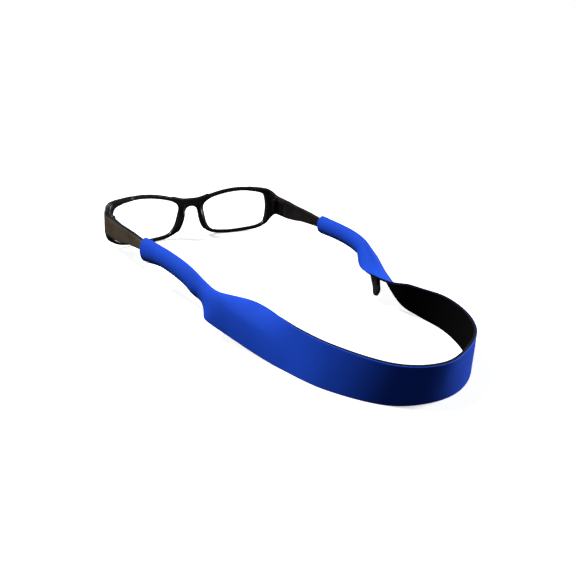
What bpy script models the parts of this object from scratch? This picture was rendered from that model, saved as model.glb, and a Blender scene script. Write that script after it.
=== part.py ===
"""Neoprene eyewear retainer strap, fitted on the plastic spectacles it holds.

Metres, +Z up. The spectacles stand on their rims with the temples open and the strap stands on its
lower edge behind them. X runs across the spectacle front and the wearer looks along +Y.
"""

import math

import bpy
import numpy as np
from mathutils import Vector

for old in list(bpy.data.objects):
    bpy.data.objects.remove(old, do_unlink=True)

MM = 0.001
GAP = 0.30 * MM

# Spectacle front
FRONT_Y = 128.9 * MM            # front plane ahead of the middle of the whole object
FRONT_THICK = 3.2 * MM
FACE_CURVE = 6.2 * MM           # how far the lens sides sit behind the bridge
FACE_CURVE_AT = 65.0 * MM
# One lens opening, right side, as (across, up): anticlockwise from the upper outer corner
LENS_OPENING = [
    (61.6 * MM, 30.4 * MM),
    (52.5 * MM, 33.2 * MM),
    (38.5 * MM, 34.0 * MM),
    (22.5 * MM, 31.6 * MM),
    (12.6 * MM, 28.0 * MM),
    (9.6 * MM, 24.2 * MM),
    (10.6 * MM, 17.0 * MM),
    (13.0 * MM, 9.8 * MM),
    (18.2 * MM, 4.2 * MM),
    (29.0 * MM, 2.2 * MM),
    (44.6 * MM, 2.6 * MM),
    (58.6 * MM, 4.9 * MM),
    (63.4 * MM, 8.4 * MM),
    (64.6 * MM, 16.5 * MM),
    (63.8 * MM, 25.4 * MM),
]
RIM_TOP = 1.9 * MM
RIM_BOTTOM = 2.3 * MM           # before the rims are levelled where they stand
RIM_NOSE = 3.0 * MM
RIM_SIDE = 2.4 * MM
GROOVE_DEEP = 0.8 * MM
GROOVE_WIDE = 2.0 * MM
LENS_THICK = 1.4 * MM
LENS_IN_GROOVE = 0.50 * MM
BRIDGE_HALF = 11.0 * MM
BRIDGE_TOP = 29.6 * MM
BRIDGE_RISE = 1.7 * MM          # from the bridge's middle up to its ends
ARCH_TOP = 24.6 * MM
ARCH_DROP = 6.0 * MM
PAD_AT = (8.9 * MM, -2.4 * MM, 13.0 * MM)
PAD_HALF = (1.8 * MM, 2.8 * MM, 7.6 * MM)
PAD_LEAN = math.radians(20)

# Endpieces and hinges
ENDPIECE_THICK = 4.0 * MM
ENDPIECE_BACK = -15.3 * MM
HINGE_X = 65.9 * MM
HINGE_Y = -15.5 * MM
HINGE_Z = 22.0 * MM
KNUCKLE_R = 1.6 * MM
KNUCKLE_TALL = 3.0 * MM
LEAF_OUT = 1.5 * MM             # plate's inner face outward of the axis
LEAF_THICK = 0.9 * MM
LEAF_TALL = 9.6 * MM
LEAF_LONG_FRONT = 4.2 * MM
LEAF_LONG_TEMPLE = 7.0 * MM
SCREW_R = 0.70 * MM
SCREW_PLAY = 0.08 * MM
SCREW_HEAD_R = 1.25 * MM

# Temples, mid-line of the right one as (across, back, up) from the front plane
TEMPLE_LINE = [
    (70.0 * MM, -15.9 * MM, 22.4 * MM),
    (69.5 * MM, -38.0 * MM, 23.5 * MM),
    (68.8 * MM, -52.0 * MM, 25.2 * MM),
    (67.6 * MM, -75.0 * MM, 26.5 * MM),
    (66.4 * MM, -95.0 * MM, 27.3 * MM),
    (65.3 * MM, -111.0 * MM, 27.5 * MM),
    (64.0 * MM, -123.0 * MM, 26.4 * MM),
    (62.2 * MM, -133.5 * MM, 23.4 * MM),
    (60.0 * MM, -142.0 * MM, 18.9 * MM),
    (57.4 * MM, -148.8 * MM, 13.6 * MM),
    (55.0 * MM, -153.4 * MM, 8.4 * MM),
    (53.8 * MM, -155.6 * MM, 5.0 * MM),
]
TEMPLE_TALL_FRONT = 13.9 * MM
TEMPLE_TALL_MID = 8.2 * MM      # 50 mm behind the front
TEMPLE_TALL_MOUTH = 6.4 * MM    # where it enters the sleeve
TEMPLE_TALL_SLEEVE = 6.2 * MM
TEMPLE_THICK_FRONT = 4.0 * MM
TEMPLE_THICK_BACK = 3.0 * MM

# Strap
STRAP_WIDE = 24.7 * MM
FABRIC = 0.35 * MM              # knitted nylon bonded on each side of the foam
FOAM = 1.00 * MM
PLY_GAP = 0.35 * MM             # between the bonded layers
STRAP_THICK = FOAM + 2 * FABRIC + 2 * PLY_GAP
SLEEVE_ROOM_WIDE = 0.6 * MM     # between the temple's sides and the sleeve's lining
SLEEVE_ROOM_TALL = 0.6 * MM     # above and below it
TUBE_HALF_WIDE = TEMPLE_THICK_BACK / 2 + STRAP_THICK / 2 + SLEEVE_ROOM_WIDE
TUBE_HALF_TALL = TEMPLE_TALL_SLEEVE / 2 + STRAP_THICK / 2 + SLEEVE_ROOM_TALL
SEAM_GAP = 0.7 * MM
SLEEVE_MOUTH_Y = -75.0 * MM
SLEEVE_END_LEFT = -132.5 * MM
SLEEVE_END_RIGHT = -127.0 * MM
ROLL_LEFT = math.radians(85)   # of the strip's middle about the temple, above outward
ROLL_RIGHT = math.radians(70)
NECK_LONG = 47.0 * MM
NECK_LOW_OPENS_LEFT = 17.0 * MM     # run in which the lower edge uncurls from the seam
NECK_HIGH_OPENS_LEFT = 62.0 * MM    # run in which the upper edge does
NECK_LOW_OPENS_RIGHT = 12.0 * MM
NECK_HIGH_OPENS_RIGHT = 46.0 * MM
CUT = 0.3 * MM                  # between sleeve, neck and band pieces
# Mid-line of the strap where the temples hold it up, as (across, back, up, lean of its outer face
# above horizontal in degrees)
HELD_LEFT = [
    (-61.2 * MM, -150.5 * MM, 23.38 * MM, 42),
]
HELD_RIGHT = [
    (61.8 * MM, -153.5 * MM, 19.36 * MM, 48),
    (63.7 * MM, -138.5 * MM, 25.99 * MM, 64),
]
# Mid-line of the free strap as (across, back, lift of its lower edge off the ground, lean)
LOOP = [
    (-55.2 * MM, -165.0 * MM, 5.0 * MM, 24),
    (-49.2 * MM, -181.0 * MM, 1.1 * MM, 15),
    (-44.6 * MM, -195.6 * MM, 0.1 * MM, 10),
    (-36.8 * MM, -222.6 * MM, 0.1 * MM, 1),
    (-19.0 * MM, -248.4 * MM, 0.1 * MM, -9),
    (1.5 * MM, -256.0 * MM, 0.1 * MM, -10),
    (22.0 * MM, -252.9 * MM, 0.1 * MM, 0),
    (42.2 * MM, -241.8 * MM, 0.1 * MM, 4),
    (56.0 * MM, -225.0 * MM, 0.1 * MM, 9),
    (62.9 * MM, -204.0 * MM, 0.1 * MM, 15),
    (62.0 * MM, -184.0 * MM, 0.2 * MM, 26),
    (60.6 * MM, -170.0 * MM, 2.1 * MM, 36),
]
STITCH_PITCH = 3.2 * MM
STITCH_HALF = 1.0 * MM
THREAD_R = 0.18 * MM

RING_POINTS = 34
TUBE_STEP = 7.0 * MM
NECK_STEP = 2.6 * MM
BAND_STEP = 6.5 * MM
TUBE_ACROSS = 15
BAND_ACROSS = 5

parts = bpy.data.collections.new("eyewear_strap")
cutters = bpy.data.collections.new("cutters")
bpy.context.scene.collection.children.link(parts)
bpy.context.scene.collection.children.link(cutters)


def material(name, colour, roughness, metallic=0.0, alpha=1.0):
    made = bpy.data.materials.new(name)
    made.use_nodes = True
    shader = made.node_tree.nodes["Principled BSDF"]
    shader.inputs["Base Color"].default_value = (*colour, 1.0)
    shader.inputs["Roughness"].default_value = roughness
    shader.inputs["Metallic"].default_value = metallic
    shader.inputs["Alpha"].default_value = alpha
    return made


FRAME_PLASTIC = material("frame_plastic", (0.012, 0.010, 0.010), 0.25)
TEMPLE_PLASTIC = material("temple_plastic", (0.055, 0.038, 0.028), 0.30)
LENS_PLASTIC = material("lens_plastic", (0.9, 0.95, 0.95), 0.05, 0.0, 0.3)
HINGE_STEEL = material("hinge_steel", (0.45, 0.45, 0.46), 0.35, 1.0)
FACE_FABRIC = material("face_fabric", (0.01, 0.07, 0.60), 0.85)
FOAM_RUBBER = material("foam_rubber", (0.02, 0.02, 0.022), 0.9)
LINING_FABRIC = material("lining_fabric", (0.012, 0.012, 0.013), 0.9)
THREAD = material("seam_thread", (0.01, 0.06, 0.45), 0.7)


def node(name, verts, faces, skin, home=(0, 0, 0), parent=None, smooth=True):
    """One solid, its vertices given in the front plane's frame, with its origin at home."""
    points = np.array(verts, float)
    volume = 0.0
    for face in faces:
        for i in range(1, len(face) - 1):
            volume += np.linalg.det(points[[face[0], face[i], face[i + 1]]])
    if volume < 0:
        faces = [tuple(reversed(face)) for face in faces]
    mesh = bpy.data.meshes.new(name)
    shifted = [tuple(v[i] - home[i] for i in range(3)) for v in verts]
    mesh.from_pydata(shifted, [], faces)
    mesh.materials.append(skin)
    mesh.validate()
    obj = bpy.data.objects.new(name, mesh)
    parts.objects.link(obj)
    if parent is None:
        obj.location = (home[0], home[1] + FRONT_Y, home[2])
    else:
        obj.parent = parent
    if smooth:
        mesh.shade_smooth()
    return obj


def cutter(obj):
    parts.objects.unlink(obj)
    cutters.objects.link(obj)
    obj.hide_render = True
    obj.display_type = "WIRE"
    return obj


def combine(obj, other, operation):
    step = obj.modifiers.new(operation.lower(), "BOOLEAN")
    step.operation = operation
    step.solver = "EXACT"
    step.object = other


def loft(sections, closed=False):
    """Skins a row of closed sections of equal length. Each runs anticlockwise seen against the travel."""
    count = len(sections[0])
    verts = [tuple(point) for section in sections for point in section]
    rows = len(sections)
    faces = []
    for i in range(rows if closed else rows - 1):
        a = i * count
        b = ((i + 1) % rows) * count
        for j in range(count):
            k = (j + 1) % count
            faces.append((a + j, a + k, b + k, b + j))
    if not closed:
        faces.append(tuple(range(count - 1, -1, -1)))
        faces.append(tuple((rows - 1) * count + j for j in range(count)))
    return verts, faces


def smooth_path(points, step, closed=False):
    """Even samples of a smooth curve through the points. Columns after the third are carried along."""
    pts = np.array(points, float)
    if closed:
        pts = np.vstack([pts[-1], pts, pts[0], pts[1]])
    else:
        pts = np.vstack([2 * pts[0] - pts[1], pts, 2 * pts[-1] - pts[-2]])
    dims = min(3, pts.shape[1])
    knots = np.r_[0, np.cumsum(np.sqrt(np.linalg.norm(np.diff(pts[:, :dims], axis=0), axis=1)))]
    dense = []
    for i in range(1, len(pts) - 2):
        t0, t1, t2, t3 = knots[i - 1 : i + 3]
        for t in np.linspace(t1, t2, 24, endpoint=False):
            a1 = pts[i - 1] * (t1 - t) / (t1 - t0) + pts[i] * (t - t0) / (t1 - t0)
            a2 = pts[i] * (t2 - t) / (t2 - t1) + pts[i + 1] * (t - t1) / (t2 - t1)
            a3 = pts[i + 1] * (t3 - t) / (t3 - t2) + pts[i + 2] * (t - t2) / (t3 - t2)
            b1 = a1 * (t2 - t) / (t2 - t0) + a2 * (t - t0) / (t2 - t0)
            b2 = a2 * (t3 - t) / (t3 - t1) + a3 * (t - t1) / (t3 - t1)
            dense.append(b1 * (t2 - t) / (t2 - t1) + b2 * (t - t1) / (t2 - t1))
    dense.append(pts[-2] if not closed else dense[0])
    dense = np.array(dense)
    run = np.r_[0, np.cumsum(np.linalg.norm(np.diff(dense[:, :dims], axis=0), axis=1))]
    count = max(2, int(round(run[-1] / step)))
    at = np.linspace(0, run[-1], count + 1)
    even = np.column_stack([np.interp(at, run, dense[:, c]) for c in range(dense.shape[1])])
    return even[:-1] if closed else even


def face_y(x):
    return -FACE_CURVE * (x / FACE_CURVE_AT) ** 2


def unit(vector):
    return vector / np.linalg.norm(vector)


# ---- Spectacle front: two grooved rims, bridge, pads and endpieces moulded as one piece ----

def opening_outline(side):
    loop = np.array(LENS_OPENING)
    length = np.linalg.norm(np.diff(np.vstack([loop, loop[:1]]), axis=0), axis=1).sum()
    outline = smooth_path([(x, z, 0) for x, z in loop], length / RING_POINTS, closed=True)[:, :2]
    if side < 0:
        outline = outline[::-1] * np.array([-1.0, 1.0])
    return outline


def outward_normals(outline):
    ahead = np.roll(outline, -1, axis=0) - np.roll(outline, 1, axis=0)
    ahead /= np.linalg.norm(ahead, axis=1)[:, None]
    return np.column_stack([ahead[:, 1], -ahead[:, 0]])


def rim(side):
    outline = opening_outline(side)
    normals = outward_normals(outline)
    half = FRONT_THICK / 2
    soft = 0.5 * MM
    sections = []
    for (x, z), (nx, nz) in zip(outline, normals):
        up = max(nz, 0.0) ** 2 * RIM_TOP + max(-nz, 0.0) ** 2 * RIM_BOTTOM
        across = nx * side
        wide = up + (max(across, 0.0) ** 2 * RIM_SIDE + max(-across, 0.0) ** 2 * RIM_NOSE)
        profile = [
            (-0.6 * MM, half),
            (wide - soft, half),
            (wide, half - soft),
            (wide, -half + soft),
            (wide - soft, -half),
            (-0.6 * MM, -half),
        ]
        sections.append(
            [(x + nx * r, face_y(x + nx * r) + y, z + nz * r) for r, y in profile[::-1]]
        )
    return loft(sections, closed=True)


def lens_seat(side):
    """The ring of space inside a rim, with the groove that the lens edge sits in."""
    outline = opening_outline(side)
    groove = GROOVE_WIDE / 2
    deep = 7 * MM
    profile = [
        (-3.2 * MM, deep),
        (0.0, deep),
        (0.0, groove),
        (GROOVE_DEEP, groove),
        (GROOVE_DEEP, -groove),
        (0.0, -groove),
        (0.0, -deep),
        (-3.2 * MM, -deep),
    ]
    sections = []
    for (x, z), (nx, nz) in zip(outline, outward_normals(outline)):
        sections.append(
            [(x + nx * r, face_y(x + nx * r) + y, z + nz * r) for r, y in profile[::-1]]
        )
    return loft(sections, closed=True)


def rounded_block(stations):
    """A bar through (centre, thickness direction, half thickness, low, high) stations, softened edges."""
    sections = []
    for centre, across, half, low, high in stations:
        soft = min(0.9 * MM, half * 0.6)
        across = Vector(across).normalized()
        corners = [
            (-half, low + soft),
            (-half, high - soft),
            (-half + soft, high),
            (half - soft, high),
            (half, high - soft),
            (half, low + soft),
            (half - soft, low),
            (-half + soft, low),
        ]
        sections.append(
            [(centre[0] + across.x * a, centre[1] + across.y * a, z) for a, z in corners]
        )
    return loft(sections)


def bridge():
    stations = []
    for i in range(9):
        x = BRIDGE_HALF * (i / 4 - 1)
        k = abs(x) / BRIDGE_HALF
        low = ARCH_TOP - ARCH_DROP * k**2.2
        high = BRIDGE_TOP + BRIDGE_RISE * k**2
        half = FRONT_THICK / 2
        stations.append(((x, face_y(x)), (0, 1, 0), half, low, high))
    return rounded_block(stations)


def endpiece(side):
    plan = [
        (62.0, -5.7, 8.5, 33.8, 30),
        (64.6, -6.4, 9.5, 33.6, 55),
        (66.6, -8.0, 11.5, 32.4, 90),
        (68.0, -10.4, 13.6, 30.8, 120),
        (69.2, -13.0, 15.0, 29.8, 145),
        (70.0, ENDPIECE_BACK / MM, 15.5, 29.3, 178),
    ]
    stations = []
    for x, y, low, high, turn in plan:
        angle = math.radians(90 - turn / 2)
        across = (math.cos(angle) * side, math.sin(angle), 0)
        stations.append(
            ((x * MM * side, y * MM), across, ENDPIECE_THICK / 2, low * MM, high * MM)
        )
    if side > 0:
        stations = stations[::-1]
    return rounded_block(stations)


def pad(side):
    verts = []
    faces = []
    rows, cols = 7, 10
    turn = -PAD_LEAN * side
    for i in range(rows):
        polar = math.pi * (i + 1) / (rows + 1)
        for j in range(cols):
            azimuth = 2 * math.pi * j / cols
            local = Vector(
                (
                    PAD_HALF[0] * math.sin(polar) * math.cos(azimuth),
                    PAD_HALF[1] * math.sin(polar) * math.sin(azimuth),
                    PAD_HALF[2] * math.cos(polar),
                )
            )
            x = local.x * math.cos(turn) + local.z * math.sin(turn)
            z = -local.x * math.sin(turn) + local.z * math.cos(turn)
            verts.append((x + PAD_AT[0] * side, local.y + PAD_AT[1], z + PAD_AT[2]))
    top = (math.sin(turn) * PAD_HALF[2], 0.0, math.cos(turn) * PAD_HALF[2])
    verts.append((top[0] + PAD_AT[0] * side, PAD_AT[1], top[2] + PAD_AT[2]))
    verts.append((-top[0] + PAD_AT[0] * side, PAD_AT[1], -top[2] + PAD_AT[2]))
    for j in range(cols):
        k = (j + 1) % cols
        for i in range(rows - 1):
            faces.append((i * cols + j, (i + 1) * cols + j, (i + 1) * cols + k, i * cols + k))
        faces.append((rows * cols, j, k))
        faces.append((rows * cols + 1, (rows - 1) * cols + k, (rows - 1) * cols + j))
    return verts, faces


def curved_plate(side, spread, thick):
    """A plate following the front's curve, its outline the lens opening's grown by spread."""
    outline = opening_outline(side)
    outline = outline + outward_normals(outline) * spread
    middle = outline.mean(axis=0)
    count = len(outline)
    verts = []
    faces = []
    scales = (1.0, 0.72, 0.36)
    for y_side in (-0.5, 0.5):
        for scale in scales:
            for x, z in middle + (outline - middle) * scale:
                verts.append((x, face_y(x) + y_side * thick, z))
        verts.append((middle[0], face_y(middle[0]) + y_side * thick, middle[1]))
    layer = len(scales) * count + 1
    for j in range(count):
        k = (j + 1) % count
        for s in range(len(scales) - 1):
            a, b = s * count, (s + 1) * count
            faces.append((a + j, a + k, b + k, b + j))
            faces.append((layer + a + k, layer + a + j, layer + b + j, layer + b + k))
        last = (len(scales) - 1) * count
        faces.append((last + j, last + k, layer - 1))
        faces.append((layer + last + k, layer + last + j, 2 * layer - 1))
        faces.append((k, j, layer + j, layer + k))
    return verts, faces


frame_front = node("frame_front", *rim(1), FRAME_PLASTIC)
for tag, shape in (
    ("rim_left", rim(-1)),
    ("bridge", bridge()),
    ("endpiece_right", endpiece(1)),
    ("endpiece_left", endpiece(-1)),
    ("pad_right", pad(1)),
    ("pad_left", pad(-1)),
):
    combine(frame_front, cutter(node("add_" + tag, *shape, FRAME_PLASTIC)), "UNION")
for side, name in ((1, "right"), (-1, "left")):
    seat = cutter(node("lens_seat_" + name, *lens_seat(side), FRAME_PLASTIC))
    combine(frame_front, seat, "DIFFERENCE")


# ---- Lenses: thin curved plates seated in the rim grooves ----

for side, name in ((1, "right"), (-1, "left")):
    node("lens_" + name, *curved_plate(side, LENS_IN_GROOVE, LENS_THICK), LENS_PLASTIC, smooth=False)


# ---- Hinges: a two-knuckle leaf on the front, a one-knuckle leaf on the temple, one screw ----

def box(low, high):
    xs, ys, zs = zip(low, high)
    verts = [(x, y, z) for z in zs for y in ys for x in xs]
    faces = [(0, 2, 3, 1), (4, 5, 7, 6), (0, 1, 5, 4), (2, 6, 7, 3), (0, 4, 6, 2), (1, 3, 7, 5)]
    return verts, faces


level = box((-80 * MM, -20 * MM, -10 * MM), (80 * MM, 20 * MM, 0.0))
combine(frame_front, cutter(node("level_ground", *level, FRAME_PLASTIC)), "DIFFERENCE")


def turned(profile, centre, sides=16):
    """A solid of revolution about a vertical axis, from (radius, height) pairs, top first."""
    sections = [
        [
            (
                centre[0] + r * math.cos(2 * math.pi * j / sides),
                centre[1] + r * math.sin(2 * math.pi * j / sides),
                z,
            )
            for j in range(sides)
        ]
        for r, z in profile[::-1]
    ]
    return loft(sections)


def hinge_home(side):
    return (HINGE_X * side, HINGE_Y, HINGE_Z)


pivots = {}
for side, name in ((1, "right"), (-1, "left")):
    pivot = bpy.data.objects.new("fold_axis_" + name, None)
    pivot.location = (HINGE_X * side, HINGE_Y + FRONT_Y, HINGE_Z)
    parts.objects.link(pivot)
    pivots[side] = pivot

knuckle_step = KNUCKLE_TALL + GAP


def leaf_box(side, ahead, extra=0.0):
    """Corners of a leaf's plate, let into the plastic, grown by extra on every side."""
    home = hinge_home(side)
    near = KNUCKLE_R + 0.35 * MM
    far = near + (LEAF_LONG_FRONT if ahead > 0 else LEAF_LONG_TEMPLE)
    xs = sorted((home[0] + side * (LEAF_OUT - extra), home[0] + side * (LEAF_OUT + LEAF_THICK + extra)))
    ys = sorted((home[1] + ahead * (near - extra), home[1] + ahead * (far + extra)))
    half = LEAF_TALL / 2 + extra
    return (xs[0], ys[0], home[2] - half), (xs[1], ys[1], home[2] + half)


def leaf_pocket(side, ahead):
    """The recess for one leaf, open toward the wearer's head and toward the hinge."""
    low, high = leaf_box(side, ahead, GAP)
    low, high = list(low), list(high)
    if side > 0:
        low[0] -= 6 * MM
    else:
        high[0] += 6 * MM
    if ahead > 0:
        low[1] -= 4 * MM
    else:
        high[1] += 4 * MM
    return box(low, high)


def hinge_leaf(name, side, levels, ahead, skin, parent):
    """A plate let into the plastic, joined to knuckles at the given levels round the axis."""
    home = hinge_home(side)
    axis = (home[0], home[1])
    low_corner, high_corner = leaf_box(side, ahead)
    plate = box(low_corner, high_corner)
    leaf = node(name, *plate, skin, home, parent, smooth=False)
    for i, level in enumerate(levels):
        low = home[2] + level * knuckle_step - KNUCKLE_TALL / 2
        high = low + KNUCKLE_TALL
        knuckle = turned([(KNUCKLE_R, high), (KNUCKLE_R, low)], axis)
        reach = KNUCKLE_R + 0.9 * MM
        tongue_x = sorted((home[0] + side * 0.7 * MM, home[0] + side * (LEAF_OUT + LEAF_THICK)))
        tongue_y = sorted((home[1] + ahead * 0.3 * MM, home[1] + ahead * reach))
        tongue = box((tongue_x[0], tongue_y[0], low), (tongue_x[1], tongue_y[1], high))
        combine(leaf, cutter(node(f"{name}_knuckle_{i}", *knuckle, skin)), "UNION")
        combine(leaf, cutter(node(f"{name}_tongue_{i}", *tongue, skin)), "UNION")
    hole_r = SCREW_R + SCREW_PLAY
    hole = turned([(hole_r, home[2] + 9 * MM), (hole_r, home[2] - 9 * MM)], axis)
    combine(leaf, cutter(node(name + "_bore", *hole, skin)), "DIFFERENCE")
    return leaf


for side, name in ((1, "right"), (-1, "left")):
    pocket = cutter(node("pocket_front_" + name, *leaf_pocket(side, 1), FRAME_PLASTIC))
    combine(frame_front, pocket, "DIFFERENCE")
    hinge_leaf("hinge_leaf_front_" + name, side, (-1, 1), 1, HINGE_STEEL, None)
    hinge_leaf("hinge_leaf_temple_" + name, side, (0,), -1, HINGE_STEEL, pivots[side])
    home = hinge_home(side)
    top = home[2] + 1.5 * knuckle_step + 0.15 * MM
    bottom = home[2] - 1.5 * knuckle_step - 0.2 * MM
    screw = turned(
        [
            (SCREW_HEAD_R * 0.75, top + 0.8 * MM),
            (SCREW_HEAD_R, top + 0.6 * MM),
            (SCREW_HEAD_R, top),
            (SCREW_R, top),
            (SCREW_R, bottom),
        ],
        (home[0], home[1]),
    )
    node("hinge_screw_" + name, *screw, HINGE_STEEL, home, smooth=False)


# ---- Temples: tall at the hinge, slim through the sleeve, bent down behind the ear ----

def frames(path):
    """Travel, outward and upward directions at each point of a path that runs left, back, right."""
    ahead = np.gradient(path[:, :3], axis=0)
    ahead /= np.linalg.norm(ahead, axis=1)[:, None]
    outward = np.cross(ahead, (0, 0, 1.0))
    outward /= np.linalg.norm(outward, axis=1)[:, None]
    upward = np.cross(outward, ahead)
    return ahead, outward, upward


def temple_size(y):
    """Height and thickness of the temple that far along Y from the front plane."""
    at = [15 * MM, 30 * MM, 52 * MM, 75 * MM, 95 * MM]
    heights = [TEMPLE_TALL_FRONT, TEMPLE_TALL_FRONT - 1.2 * MM, TEMPLE_TALL_MID, TEMPLE_TALL_MOUTH]
    tall = np.interp(-y, at, heights + [TEMPLE_TALL_SLEEVE])
    thick = np.interp(-y, [15 * MM, 60 * MM], [TEMPLE_THICK_FRONT, TEMPLE_THICK_BACK])
    return tall, thick


def temple(side):
    line = [(x * side, y, z) for x, y, z in TEMPLE_LINE]
    path = smooth_path(line, 5.0 * MM)
    if side > 0:
        path = path[::-1]
    _, outward, upward = frames(path)
    end = path[0] if side > 0 else path[-1]
    sections = []
    for point, out, up in zip(path, outward, upward):
        tall, thick = temple_size(point[1])
        left = np.linalg.norm(point - end)
        round_off = min(1.0, math.sqrt(max(0.0, 1 - (1 - min(left, 3.2 * MM) / (3.2 * MM)) ** 2)))
        round_off = max(round_off, 0.35)
        power = np.interp(-point[1], [60 * MM, 72 * MM], [0.42, 0.8])
        section = []
        for j in range(12):
            angle = 2 * math.pi * (j + 0.5) / 12
            c, s = math.cos(angle), math.sin(angle)
            a = math.copysign(abs(c) ** power, c) * thick / 2 * max(round_off, 0.6)
            b = math.copysign(abs(s) ** power, s) * tall / 2 * round_off
            section.append(point + out * a + up * b)
        sections.append(section)
    return loft(sections)


for side, name in ((1, "right"), (-1, "left")):
    arm = node("temple_" + name, *temple(side), TEMPLE_PLASTIC, hinge_home(side), pivots[side])
    pocket = cutter(node("pocket_temple_" + name, *leaf_pocket(side, -1), TEMPLE_PLASTIC))
    combine(arm, pocket, "DIFFERENCE")


# ---- Strap: one strip of laminate whose ends are rolled round the temples and seamed ----

def oval_turning(roll):
    """For an oval tube: run from the strip's middle against how far its surface has turned."""
    angles = np.linspace(0, 2 * math.pi, 721)
    normal = np.arctan2(np.sin(angles) * TUBE_HALF_WIDE, np.cos(angles) * TUBE_HALF_TALL)
    start = angles[np.argmin(np.abs(np.angle(np.exp(1j * (normal - roll)))))]
    sweep = start + np.linspace(-math.pi, math.pi, 721)
    x = TUBE_HALF_WIDE * np.cos(sweep)
    z = TUBE_HALF_TALL * np.sin(sweep)
    run = np.r_[0, np.cumsum(np.hypot(np.diff(x), np.diff(z)))]
    run -= np.interp(0, sweep - start, run)
    turned_by = np.unwrap(np.arctan2(np.sin(sweep) * TUBE_HALF_WIDE, np.cos(sweep) * TUBE_HALF_TALL))
    turned_by -= np.interp(0, sweep - start, turned_by)
    middle = np.array([TUBE_HALF_WIDE * math.cos(start), TUBE_HALF_TALL * math.sin(start)])
    return run, turned_by, middle


OVALS = {-1: oval_turning(ROLL_LEFT), 1: oval_turning(ROLL_RIGHT)}
TUBE_ROUND = {side: OVALS[side][0][-1] - OVALS[side][0][0] for side in OVALS}


def smoothstep(k):
    k = min(1.0, max(0.0, k))
    return k * k * (3 - 2 * k)


def sleeve_stations(side, sleeve_end):
    """Points on the rolled strip's middle line along one temple, mouth first."""
    line = [(x * side, y, z) for x, y, z in TEMPLE_LINE]
    path = smooth_path(line, 1.0 * MM)
    travel = path if side < 0 else path[::-1]
    _, outward, upward = frames(travel)
    keep = (travel[:, 1] <= SLEEVE_MOUTH_Y) & (travel[:, 1] >= sleeve_end)
    middle = OVALS[side][2]
    spine = travel + outward * middle[0] + upward * middle[1]
    spine = spine[keep]
    roll = ROLL_LEFT if side < 0 else ROLL_RIGHT
    return np.column_stack([spine, np.full(len(spine), roll)])


left_sleeve = sleeve_stations(-1, SLEEVE_END_LEFT)
right_sleeve = sleeve_stations(1, SLEEVE_END_RIGHT)
loop = []
for x, y, lift, lean in LOOP:
    turn = math.radians(lean)
    below = STRAP_WIDE / 2 * math.cos(turn) + STRAP_THICK / 2 * abs(math.sin(turn))
    loop.append((x, y, lift + below, turn))
held_left = [(x, y, z, math.radians(lean)) for x, y, z, lean in HELD_LEFT]
held_right = [(x, y, z, math.radians(lean)) for x, y, z, lean in HELD_RIGHT]
guide = [
    left_sleeve[:-3:6],
    left_sleeve[-1:],
    np.array(held_left + loop + held_right),
    right_sleeve[:1],
    right_sleeve[6::6],
    right_sleeve[-1:],
]
spine = smooth_path(np.vstack(guide), 0.5 * MM)
spine_run = np.r_[0, np.cumsum(np.linalg.norm(np.diff(spine[:, :3], axis=0), axis=1))]
LENGTH = spine_run[-1]
left_end = spine_run[np.argmin(np.linalg.norm(spine[:, :3] - left_sleeve[-1, :3], axis=1))]
right_end = spine_run[np.argmin(np.linalg.norm(spine[:, :3] - right_sleeve[0, :3], axis=1))]
_, spine_out, spine_up = frames(spine)


def station(at):
    """Point, outward and upward directions of the strip's middle line at this run from the left mouth."""
    point = np.array([np.interp(at, spine_run, spine[:, c]) for c in range(3)])
    roll = np.interp(at, spine_run, spine[:, 3])
    out = unit(np.array([np.interp(at, spine_run, spine_out[:, c]) for c in range(3)]))
    up = unit(np.array([np.interp(at, spine_run, spine_up[:, c]) for c in range(3)]))
    face = out * math.cos(roll) + up * math.sin(roll)
    rise = -out * math.sin(roll) + up * math.cos(roll)
    return point, face, rise


def curl(at):
    """How far the upper and lower halves of the strip are rolled up: 1 in the sleeve, 0 in the band."""
    if at < LENGTH / 2:
        past = max(0.0, at - left_end)
        low_opens, high_opens = NECK_LOW_OPENS_LEFT, NECK_HIGH_OPENS_LEFT
    else:
        past = max(0.0, right_end - at)
        low_opens, high_opens = NECK_LOW_OPENS_RIGHT, NECK_HIGH_OPENS_RIGHT
    roll = max(0.0, np.interp(at, spine_run, spine[:, 3]))
    high = (1 - min(1.0, past / high_opens)) ** 1.5
    low = 1 - smoothstep(past / low_opens)
    hang = roll / math.pi * (1 - smoothstep(past / (1.6 * high_opens)))
    return high, low + (1 - low) * hang


def section(at, offset_in, offset_out, across):
    """Closed outline of one layer across the strip, between two offsets from its mid-surface."""
    point, face, rise = station(at)
    side = -1 if at < LENGTH / 2 else 1
    run, turned_by, _ = OVALS[side]
    high, low = curl(at)
    half_tube = (TUBE_ROUND[side] - SEAM_GAP) / 2
    rolled = max(high, low)
    half = half_tube * rolled + STRAP_WIDE / 2 * (1 - rolled)
    steps = 40
    inner = []
    outer = []
    for sign, amount in ((1, high), (-1, low)):
        along = np.linspace(0, half, steps + 1)
        angle = np.abs(np.interp(sign * along * half_tube / half, run, turned_by)) * amount
        dx = -np.sin(angle)
        dz = sign * np.cos(angle)
        mids = (dx[1:] + dx[:-1]) / 2, (dz[1:] + dz[:-1]) / 2
        width = half / steps
        x = np.r_[0, np.cumsum(mids[0]) * width]
        z = np.r_[0, np.cumsum(mids[1]) * width]
        nx = np.cos(angle)
        nz = sign * np.sin(angle)
        pick = np.round(np.linspace(0, steps, (across - 1) // 2 + 1)).astype(int)
        for store, offset in ((inner, offset_in), (outer, offset_out)):
            points = [
                point + face * (x[i] + nx[i] * offset) + rise * (z[i] + nz[i] * offset) for i in pick
            ]
            store.append(points)
    inner_row = inner[1][::-1] + inner[0][1:]
    outer_row = outer[1][::-1] + outer[0][1:]
    return outer_row + inner_row[::-1]


def stations_between(start, stop, step):
    count = max(2, int(round((stop - start) / step)))
    return np.linspace(start, stop, count + 1)


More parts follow.
